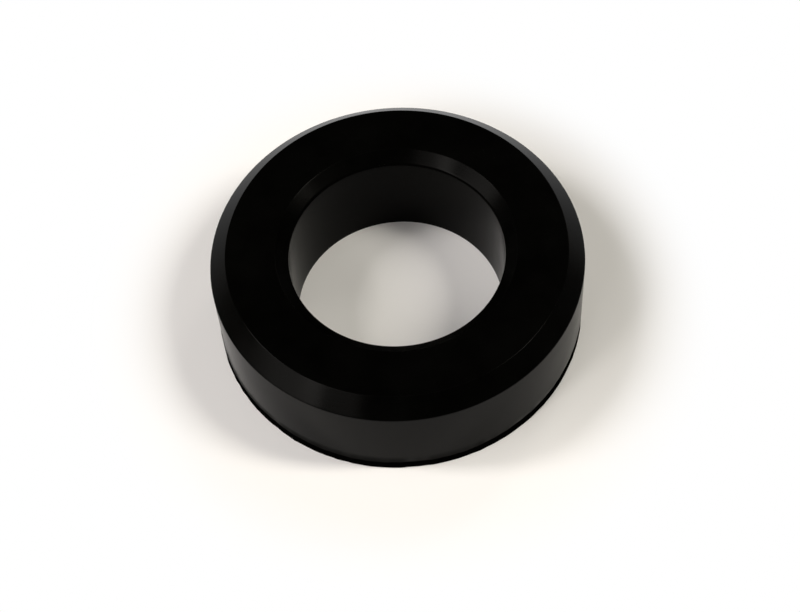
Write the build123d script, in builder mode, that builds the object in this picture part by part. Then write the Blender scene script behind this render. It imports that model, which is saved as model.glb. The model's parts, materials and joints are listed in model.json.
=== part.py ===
"""Injector insulator: a moulded rubber ring that cushions a fuel injector's nose in its seat.

The ring stands on its flat base, with its axis on Z and the base at Z = 0.
It is one moulding, so it is one section revolved once: flat base, straight outer wall,
rim bevel, flat top, mouth bevel and straight bore, with a mould radius on every edge.
"""

import os

from build123d import *

# Driving dimensions in millimetres
outer_diameter = 22.0
bore_diameter = 12.7
height = 6.6

# Bevel round the outside of the top face
rim_bevel_width = 1.0
rim_bevel_depth = 1.0

# Bevel that leads the injector's nose into the bore
mouth_bevel_width = 0.75
mouth_bevel_depth = 0.62

# Mould radius on each edge of the section
bore_foot_radius = 0.1  # base to bore
foot_radius = 0.1  # base to outer wall
rim_radius = 0.1  # outer wall to rim bevel
top_edge_radius = 0.06  # rim bevel to flat top
mouth_radius = 0.06  # flat top to mouth bevel
throat_radius = 0.3  # mouth bevel to bore

# Radii and levels that the section's corners take from the sizes above
outer_r = outer_diameter / 2
bore_r = bore_diameter / 2
rim_level = height - rim_bevel_depth
throat_level = height - mouth_bevel_depth

# Corners of the half section as (radius, level), anticlockwise from the bore's foot,
# each with the mould radius that rounds it
corner_radii = [
    ((bore_r, 0), bore_foot_radius),
    ((outer_r, 0), foot_radius),
    ((outer_r, rim_level), rim_radius),
    ((outer_r - rim_bevel_width, height), top_edge_radius),
    ((bore_r + mouth_bevel_width, height), mouth_radius),
    ((bore_r, throat_level), throat_radius),
]

with BuildPart() as insulator_ring:
    with BuildSketch(Plane.XZ) as section:
        with BuildLine():
            Polyline(*[corner for corner, radius in corner_radii], close=True)
        make_face()
        for corner, radius in corner_radii:
            fillet(section.vertices().sort_by_distance(corner)[0], radius)
    revolve(axis=Axis.Z)

insulator_ring.part.label = "insulator_ring"

os.makedirs("parts", exist_ok=True)
export_step(insulator_ring.part, "parts/insulator_ring.step")
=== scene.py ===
# %% [markdown]
# # A moulded rubber injector insulator
#
# The object is one thick black rubber ring. It sits between the nose of a fuel injector and the
# round seat that holds it, where it cushions and seals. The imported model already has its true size,
# so this lesson dresses that model: it remakes the ring as a fine surface, gives it a rubber
# finish, sets it on a white table and lights it as the photograph is lit.

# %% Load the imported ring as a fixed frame
import json
from math import cos, pi, radians, sin, tan

import bpy
import numpy as np
from mathutils import Matrix, Vector


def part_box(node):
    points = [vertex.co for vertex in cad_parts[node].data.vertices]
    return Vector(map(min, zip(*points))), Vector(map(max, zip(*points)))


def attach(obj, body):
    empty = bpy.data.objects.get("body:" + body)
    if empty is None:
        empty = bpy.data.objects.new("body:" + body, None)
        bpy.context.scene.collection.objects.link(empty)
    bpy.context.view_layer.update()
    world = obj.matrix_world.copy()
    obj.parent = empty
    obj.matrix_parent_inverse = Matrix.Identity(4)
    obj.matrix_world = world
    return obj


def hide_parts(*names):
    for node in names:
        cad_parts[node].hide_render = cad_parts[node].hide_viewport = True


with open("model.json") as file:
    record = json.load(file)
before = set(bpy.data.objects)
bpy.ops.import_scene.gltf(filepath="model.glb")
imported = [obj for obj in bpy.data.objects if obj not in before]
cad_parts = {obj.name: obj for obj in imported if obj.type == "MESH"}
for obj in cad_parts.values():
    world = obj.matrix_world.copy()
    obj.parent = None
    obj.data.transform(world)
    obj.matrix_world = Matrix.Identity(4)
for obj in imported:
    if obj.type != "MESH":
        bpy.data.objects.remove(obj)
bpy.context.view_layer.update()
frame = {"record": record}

MM = 0.001
scene = bpy.context.scene
scene.view_settings.view_transform = "Standard"

# %% [markdown]
# ## Where the sizes come from
#
# The outer radius and the bore are read from the record's mounts, and the height from the packed
# ring's box, so the looks can't drift from the solid. The bevels and the mould radii are in
# neither, so they are repeated here by name.

# %% Sizes of the ring
RING = "insulator_ring"
mounts = {mount["name"]: mount for mount in frame["record"]["mounts"]}
outer_r = mounts["outer_wall"]["dims"]["r_mm"] * MM
bore_r = mounts["bore"]["dims"]["r_mm"] * MM
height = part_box(RING)[1].z

rim_bevel = 1.0 * MM
mouth_bevel_width = 0.75 * MM
mouth_bevel_depth = 0.62 * MM
rim_radius = 0.1 * MM
top_edge_radius = 0.06 * MM
mouth_radius = 0.06 * MM
throat_radius = 0.3 * MM
print(f"ring {2 * outer_r / MM:.2f} mm across, bore {2 * bore_r / MM:.2f} mm, height {height / MM:.2f} mm")

# %% [markdown]
# ## The camera
#
# The photograph looks down on the ring at about 58 degrees, slightly rolled. Edges of the ring were
# measured in the photograph, and the distance, tilt, roll and lens below are those at which a ring
# of this section falls on the same edges. The lens follows from the focal length in pixels and
# the width of the image.

# %% Camera at the photograph's viewing angle
IMAGE_WIDTH_PX = 800
SENSOR_WIDTH_MM = 36.0
focal_length_px = 1829.0
camera_distance = 10.188 * outer_r
camera_elevation = radians(57.98)
camera_roll = radians(-4.52)
aim_point = Vector((-0.0052 * outer_r, 0.0031 * outer_r, 0))

camera_data = bpy.data.cameras.new("camera")
camera_data.sensor_width = SENSOR_WIDTH_MM
camera_data.lens = focal_length_px / IMAGE_WIDTH_PX * SENSOR_WIDTH_MM
camera_data.clip_start = 0.005
camera_data.clip_end = 20.0
camera = bpy.data.objects.new("camera", camera_data)
scene.collection.objects.link(camera)
scene.camera = camera

camera_place = camera_distance * Vector((0, -cos(camera_elevation), sin(camera_elevation)))
forward = (aim_point - camera_place).normalized()
level_right = forward.cross(Vector((0, 0, 1))).normalized()
level_up = level_right.cross(forward)
right = cos(camera_roll) * level_right + sin(camera_roll) * level_up
up = right.cross(forward)
turn = Matrix((right, up, -forward)).transposed().to_4x4()
camera.matrix_world = Matrix.Translation(camera_place) @ turn
print(f"lens {camera_data.lens:.1f} mm, camera {camera_place.length / MM:.0f} mm from the ring")

# %% [markdown]
# ## The section of the ring
#
# A turned or moulded ring is one outline carried round an axis. Blender's Screw or Spin could carry
# a drawn outline, but here every point is wanted by formula, so that the edges stay exact and
# the foot can be made ragged afterwards. The outline is a polygon whose corners are replaced by
# arcs. Points crowd together towards the ends of each straight run, which keeps the smooth
# shading of a flat face flat right up to its rounded edge.

# %% Outline with rounded corners
def rounded_outline(corners, radii, arc_points=7, run_points=8):
    """Closed outline of a polygon with rounded corners, as rows of (radius, level).

    Each arc starts and ends at radius * tan(half the turn) from its corner, and is swept from one
    side's normal to the next side's. A corner that turns inwards has a negative radius.
    Straight runs between arcs are spaced by (1 - cos(pi s)) / 2, so they crowd at their ends.
    """
    corners = np.asarray(corners, float)
    radii = np.asarray(radii, float)[:, None]
    side = np.roll(corners, -1, 0) - corners
    side /= np.linalg.norm(side, axis=1, keepdims=True)
    before = np.roll(side, 1, 0)
    turned = np.arctan2(before[:, 0] * side[:, 1] - before[:, 1] * side[:, 0], (before * side).sum(1))
    reach = radii * np.tan(turned / 2)[:, None]
    starts = corners - reach * before
    ends = corners + reach * side
    inward = np.stack([-before[:, 1], before[:, 0]], 1)
    centres = starts + radii * inward
    swept = turned[:, None] * np.linspace(0, 1, arc_points)
    way = np.arctan2(-inward[:, 1], -inward[:, 0])[:, None] + swept
    arcs = centres[:, None] + radii[:, None] * np.stack([np.cos(way), np.sin(way)], 2)
    share = (1 - np.cos(pi * np.linspace(0, 1, run_points + 2)[1:-1])) / 2
    following = np.roll(starts, -1, 0)
    runs = ends[:, None] + share[None, :, None] * (following - ends)[:, None]
    return np.concatenate([arcs, runs], 1).reshape(-1, 2)


# %% [markdown]
# ## The trimmed foot
#
# A narrow band round the foot stands a hair proud of the wall, with a torn surface and a slightly
# ragged edge, as trimmed moulding flash leaves it. It has no gloss at all, so it stays black under
# any lamp: partly the trimmed flash and partly painted shade, standing in for the dark contact
# shadow along the foot and its reflection in the wall. The band is part of the section here, and
# its raggedness is added once the section has gone round the ring. The bore is a hair narrower at
# the foot, like one made by a tapered core pin.

# %% Section with its trimmed foot
trim_height = 0.65 * MM
trim_proud = 0.02 * MM
trim_foot_radius = 0.05 * MM
trim_edge_radius = 0.012 * MM
bore_draft = 0.08 * MM
bore_foot_radius = 0.04 * MM
trim_r = outer_r + trim_proud
section = rounded_outline(
    [
        (bore_r - bore_draft, 0),
        (trim_r, 0),
        (trim_r, trim_height - trim_proud),
        (outer_r, trim_height),
        (outer_r, height - rim_bevel),
        (outer_r - rim_bevel, height),
        (bore_r + mouth_bevel_width, height),
        (bore_r, height - mouth_bevel_depth),
    ],
    [
        bore_foot_radius,
        trim_foot_radius,
        trim_edge_radius,
        -trim_edge_radius,
        rim_radius,
        top_edge_radius,
        mouth_radius,
        throat_radius,
    ],
)
print("section points:", len(section))

# %% [markdown]
# ## The ring itself
#
# The section goes round the axis on a grid: one parameter runs along the outline and the other
# round the ring, and both close on themselves, so there is no seam and no pole. The ragged edge is a
# sum of waves round the ring, each with a whole number of crests, so that it closes too. One
# slow wave lifts the black band's upper edge at the left and right sides: painted shade, darkening
# the lowest wall there.

# %% Carry the section round the axis
AROUND = 640
RAGGED_SEED = 12
angle = np.linspace(0, 2 * pi, AROUND, endpoint=False)


def ragged(random, crests):
    """Sum of cosines round the ring, one for each number of crests, of about unit height."""
    phase = random.uniform(0, 2 * pi, len(crests))[:, None]
    height_share = random.uniform(0.5, 1.0, len(crests))[:, None]
    waves = height_share * np.cos(np.asarray(crests)[:, None] * angle + phase)
    return waves.sum(0) / np.sqrt(len(crests))


def closed_grid_faces(rows, columns):
    """Quads of a grid that closes both ways, wound so that the faces look outwards."""
    index = np.arange(rows * columns).reshape(rows, columns)
    beside = np.roll(index, -1, 1)
    next_row = np.roll(index, -1, 0)
    return np.stack([index, beside, np.roll(next_row, -1, 1), next_row], -1).reshape(-1, 4)


def mesh_piece(name, points, faces):
    """A smooth mesh object at the origin from arrays of points and lists of faces."""
    mesh = bpy.data.meshes.new(name)
    mesh.from_pydata(points, [], faces)
    mesh.polygons.foreach_set("use_smooth", np.ones(len(faces), bool))
    mesh.update()
    piece = bpy.data.objects.new(name, mesh)
    scene.collection.objects.link(piece)
    return piece


random = np.random.default_rng(RAGGED_SEED)
# Painted shade: how far the black band at the foot rises at the left and right sides.
painted_shade_side_rise = 0.1 * MM
trim_line_swing = 0.035 * MM
trim_face_swing = 0.02 * MM
trim_shift = 0.04 * MM
trim_shift_angle = radians(225)
slow_crests = [2, 3, 5, 7, 9, 13]
quick_crests = [17, 23, 31, 41, 57, 73, 90]
section_r, section_z = section[:, :1], section[:, 1:]
is_outside = section_r > outer_r - trim_foot_radius
in_band = is_outside & (section_z < trim_height + trim_edge_radius)
lift = is_outside * np.interp(section_z, [0, trim_height, 2 * trim_height], [0, 1, 0])
bulge = in_band * np.clip(section_z / trim_foot_radius, 0, 1)

# Painted shade: the black band is taller at the left and right sides, darkening the lowest wall there.
painted_shade_rise = painted_shade_side_rise * (1 + np.cos(2 * angle))
ring_z = section_z + lift * (painted_shade_rise + trim_line_swing * ragged(random, slow_crests + quick_crests))
off_centre = trim_shift * np.cos(angle - trim_shift_angle)
ring_r = section_r + bulge * (off_centre + trim_face_swing * ragged(random, slow_crests + quick_crests))
ring_points = np.stack([ring_r * np.cos(angle), ring_r * np.sin(angle), ring_z], -1).reshape(-1, 3)
ring = mesh_piece("rubber_ring", ring_points, closed_grid_faces(len(section), AROUND).tolist())
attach(ring, "root")
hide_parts(RING)
print("ring triangles:", 2 * len(ring.data.polygons))

# %% [markdown]
# ## Black rubber
#
# Carbon-filled rubber is almost pure black in its body. What the eye sees is the thin gloss of its
# moulded skin: faint where it is looked at squarely, strong at a glancing angle. The skin
# carries what a turned mould leaves on it. There is a fine grain all over, faint lines that run
# round the ring, and cloudy patches where the gloss changes a little. The torn band at the foot
# has no skin and no gloss, so there it is black under any lamp: partly the trimmed flash and partly
# painted shade along the foot. All patterns read Object coordinates, in metres, so their sizes
# are real lengths.

# %% Rubber material
def new_node(tree, kind, settings=None, values=None):
    """A shader node with its settings, and default values for its sockets."""
    node = tree.nodes.new("ShaderNode" + kind)
    for name, value in (settings or {}).items():
        setattr(node, name, value)
    for socket, value in (values or {}).items():
        node.inputs[socket].default_value = value
    return node


def noise(tree, place, size, detail):
    """Noise whose lumps are about this size in metres."""
    texture = new_node(tree, "TexNoise", values={"Scale": 1 / size, "Detail": detail})
    tree.links.new(place, texture.inputs["Vector"])
    return texture.outputs["Fac"]


def scaled(tree, source, factor, added=None):
    """A value times a factor, with another value added."""
    operation = "MULTIPLY" if added is None else "MULTIPLY_ADD"
    step = new_node(tree, "Math", {"operation": operation}, {1: factor})
    tree.links.new(source, step.inputs[0])
    if added is not None:
        tree.links.new(added, step.inputs[2])
    return step.outputs["Value"]


def moulded_rubber():
    """Black rubber with a satin moulded skin, fine grain and turning lines."""
    grain_size, grain_depth = 0.09 * MM, 0.0011 * MM
    line_size, line_depth = 0.11 * MM, 0.0009 * MM
    cloud_size = 2.6 * MM
    skin_gloss = 0.03
    smoothest, roughest = 0.17, 0.24

    material = bpy.data.materials.new("moulded_rubber")
    material.use_nodes = True
    tree = material.node_tree
    link = tree.links.new
    shader = tree.nodes["Principled BSDF"]
    shader.inputs["Specular IOR Level"].default_value = skin_gloss

    place = new_node(tree, "TexCoord").outputs["Object"]
    level = new_node(tree, "SeparateXYZ")
    flattened = new_node(tree, "VectorMath", {"operation": "MULTIPLY"}, {1: (1, 1, 0)})
    radius = new_node(tree, "VectorMath", {"operation": "LENGTH"})
    round_place = new_node(tree, "CombineXYZ")
    link(place, level.inputs["Vector"])
    link(place, flattened.inputs[0])
    link(flattened.outputs["Vector"], radius.inputs[0])
    link(radius.outputs["Value"], round_place.inputs["X"])
    link(level.outputs["Z"], round_place.inputs["Y"])

    grain = noise(tree, place, grain_size, 3)
    lines = noise(tree, round_place.outputs["Vector"], line_size, 2)
    clouds = noise(tree, place, cloud_size, 3)

    body = new_node(tree, "ValToRGB")
    body.color_ramp.elements[0].position = 0.3
    body.color_ramp.elements[0].color = (0.0006, 0.0006, 0.0005, 1)
    body.color_ramp.elements[1].position = 0.75
    body.color_ramp.elements[1].color = (0.0014, 0.0014, 0.0012, 1)
    link(clouds, body.inputs["Fac"])
    link(body.outputs["Color"], shader.inputs["Base Color"])

    skin = new_node(
        tree,
        "MapRange",
        values={"From Min": 0.3, "From Max": 0.7, "To Min": smoothest, "To Max": roughest},
    )
    link(clouds, skin.inputs["Value"])
    link(skin.outputs["Result"], shader.inputs["Roughness"])

    relief = scaled(tree, grain, grain_depth, scaled(tree, lines, line_depth))
    bump = new_node(tree, "Bump", values={"Strength": 1.0, "Distance": 1.0})
    link(relief, bump.inputs["Height"])
    link(bump.outputs["Normal"], shader.inputs["Normal"])
    return material


def torn_rubber_and_painted_shade():
    """Raw black rubber without a skin, with a coarse torn relief. It has no gloss at all, so it is black
    under any lamp: partly the trimmed flash and partly painted shade along the foot.
    """
    tear_size, tear_depth = 0.16 * MM, 0.03 * MM

    material = bpy.data.materials.new("torn_rubber_and_painted_shade")
    material.use_nodes = True
    tree = material.node_tree
    link = tree.links.new
    shader = tree.nodes["Principled BSDF"]
    # No gloss at all, so the band is black under any lamp: partly painted shade along the foot.
    shader.inputs["Specular IOR Level"].default_value = 0.0
    shader.inputs["Roughness"].default_value = 0.95

    place = new_node(tree, "TexCoord").outputs["Object"]
    tears = noise(tree, place, tear_size, 4)
    # Painted shade: the tone follows the torn relief, darker in its hollows and lighter on its crests.
    body = new_node(tree, "ValToRGB")
    body.color_ramp.elements[0].position = 0.35
    body.color_ramp.elements[0].color = (0.0004, 0.0004, 0.0004, 1)
    body.color_ramp.elements[1].position = 0.7
    body.color_ramp.elements[1].color = (0.002, 0.002, 0.0018, 1)
    link(tears, body.inputs["Fac"])
    link(body.outputs["Color"], shader.inputs["Base Color"])

    bump = new_node(tree, "Bump", values={"Strength": 1.0, "Distance": 1.0})
    link(scaled(tree, tears, tear_depth), bump.inputs["Height"])
    link(bump.outputs["Normal"], shader.inputs["Normal"])
    return material


ring.data.materials.append(moulded_rubber())
ring.data.materials.append(torn_rubber_and_painted_shade())
torn_and_shade_rows = in_band & np.roll(in_band, -1, 0)
ring.data.polygons.foreach_set("material_index", np.repeat(torn_and_shade_rows, AROUND, 1).ravel().astype("i4"))
print("torn rows:", int(torn_and_shade_rows.sum()), "of", len(section))

# %% [markdown]
# ## The table
#
# The ring lies on a plain white table. Near the ring the table is a matt white surface, so that
# it takes the ring's soft shadows. Further out it fades into an even white of strength one. The
# table sweeps up at its edge to close the view from the side, but the ring mirrors only the white
# that lies close by, which keeps its bevels as dark as in the photograph.

# %% White table
TABLE_AROUND = 96
flat_r = 0.6
sweep_r = 1.4
sweep_rise = 0.4
near_edge = 1.2 * outer_r
far_edge = 1.75 * outer_r
mirrored_r = 0.08
table_white = (0.96, 0.96, 0.97, 1)


def white_table():
    """Matt white that fades into an even white with the distance from the ring's axis.

    The camera sees the even white everywhere, and the ring mirrors it as far as mirrored_r.
    """
    material = bpy.data.materials.new("white_table")
    material.use_nodes = True
    tree = material.node_tree
    link = tree.links.new
    tree.nodes.clear()
    place = new_node(tree, "TexCoord")
    distance = new_node(tree, "VectorMath", {"operation": "LENGTH"})
    fade = new_node(
        tree,
        "MapRange",
        {"interpolation_type": "SMOOTHSTEP"},
        {"From Min": near_edge, "From Max": far_edge},
    )
    link(place.outputs["Object"], distance.inputs[0])
    link(distance.outputs["Value"], fade.inputs["Value"])

    ray = new_node(tree, "LightPath")
    close_by = new_node(tree, "Math", {"operation": "LESS_THAN"}, {1: mirrored_r})
    mirrored = new_node(tree, "Math", {"operation": "MULTIPLY"})
    seen_or_mirrored = new_node(tree, "Math", {"operation": "ADD"})
    share = new_node(tree, "Math", {"operation": "MULTIPLY"})
    link(distance.outputs["Value"], close_by.inputs[0])
    link(close_by.outputs["Value"], mirrored.inputs[0])
    link(ray.outputs["Is Glossy Ray"], mirrored.inputs[1])
    link(mirrored.outputs["Value"], seen_or_mirrored.inputs[0])
    link(ray.outputs["Is Camera Ray"], seen_or_mirrored.inputs[1])
    link(seen_or_mirrored.outputs["Value"], share.inputs[0])
    link(fade.outputs["Result"], share.inputs[1])

    matt = new_node(tree, "BsdfDiffuse", values={"Color": table_white})
    even = new_node(tree, "Emission", values={"Strength": 1.0})
    mix = new_node(tree, "MixShader")
    output = new_node(tree, "OutputMaterial")
    link(share.outputs["Value"], mix.inputs["Fac"])
    link(matt.outputs["BSDF"], mix.inputs[1])
    link(even.outputs["Emission"], mix.inputs[2])
    link(mix.outputs["Shader"], output.inputs["Surface"])
    return material


def swept_table(name, rows=24):
    """A round table whose edge sweeps up: its level is rise * (1 - cos(pi t)) / 2 past the flat."""
    t = np.linspace(0, 1, rows)[:, None]
    turn_angle = np.linspace(0, 2 * pi, TABLE_AROUND, endpoint=False)[None, :]
    r = flat_r + (sweep_r - flat_r) * t
    z = sweep_rise * (1 - np.cos(pi * t)) / 2
    x, y, z = np.broadcast_arrays(r * np.cos(turn_angle), r * np.sin(turn_angle), z)
    points = np.stack([x, y, z], -1).reshape(-1, 3)
    index = np.arange(rows * TABLE_AROUND).reshape(rows, TABLE_AROUND)
    beside = np.roll(index, -1, 1)
    quads = np.stack([index[:-1], index[1:], beside[1:], beside[:-1]], -1).reshape(-1, 4)
    return mesh_piece(name, points, quads.tolist() + [index[0].tolist()])


table = swept_table("table")
table.data.materials.append(white_table())
print("table faces:", len(table.data.polygons))

# %% [markdown]
# ## Light
#
# Shadows fall on both sides of the ring at once, so the light comes from both sides: a tall strip at
# the left and one at the right, each about halfway up. At the left a wider and weaker light
# reaches round to the front. It is what glows in the rim bevel at the front left and in the far
# right of the mouth. A small lamp behind the ring at the right lights the table inside the bore,
# and a weak one almost overhead leaves a thin faint shadow along the foot. Nothing shines
# where the flat top mirrors the room, so the top stays black. All the lamps are slightly warm.

# %% Soft lamps and a dim room
LAMP_DISTANCE = 0.5
DAYLIGHT = (1.0, 0.95, 0.9)
WARM_WHITE = (1.0, 0.95, 0.84)
ROOM_STRENGTH = 0.012


def soft_lamp(name, azimuth, elevation, half_width, half_height, radiance, colour):
    """A rectangular lamp that faces the ring, placed and sized by angles in degrees.

    Azimuth is counted from the front to the right, and the half sizes are angles seen from the
    ring. A flat lamp of even radiance gives pi times radiance times area in watts. The colour
    tints the light and has red at one.
    """
    data = bpy.data.lights.new(name, "AREA")
    data.shape = "RECTANGLE"
    data.color = colour
    data.size = 2 * LAMP_DISTANCE * tan(radians(half_width))
    data.size_y = 2 * LAMP_DISTANCE * tan(radians(half_height))
    data.energy = pi * radiance * data.size * data.size_y
    lamp = bpy.data.objects.new(name, data)
    scene.collection.objects.link(lamp)
    out = cos(radians(elevation))
    way = Vector((sin(radians(azimuth)) * out, -cos(radians(azimuth)) * out, sin(radians(elevation))))
    lamp.location = LAMP_DISTANCE * way
    lamp.rotation_mode = "QUATERNION"
    lamp.rotation_quaternion = way.to_track_quat("Z", "Y")
    print(f"{name}: {data.energy:.1f} W")


soft_lamp("left_strip", -96, 49, 4, 11, 20.0, DAYLIGHT)
soft_lamp("left_low", -75, 28, 18, 12, 4.4, DAYLIGHT)
soft_lamp("left_front", -50, 34, 5, 13, 9.7, DAYLIGHT)
soft_lamp("front_fill", -33, 36, 7, 12, 2.5, DAYLIGHT)
soft_lamp("right_strip", 83, 51, 4, 12, 28.5, WARM_WHITE)
soft_lamp("back_right", 150, 42, 5, 5, 6.0, WARM_WHITE)
soft_lamp("overhead", -165, 82, 9, 4, 2.0, DAYLIGHT)

world = bpy.data.worlds.new("dim_room")
world.use_nodes = True
world.node_tree.nodes["Background"].inputs["Color"].default_value = (1, 1, 1, 1)
world.node_tree.nodes["Background"].inputs["Strength"].default_value = ROOM_STRENGTH
scene.world = world
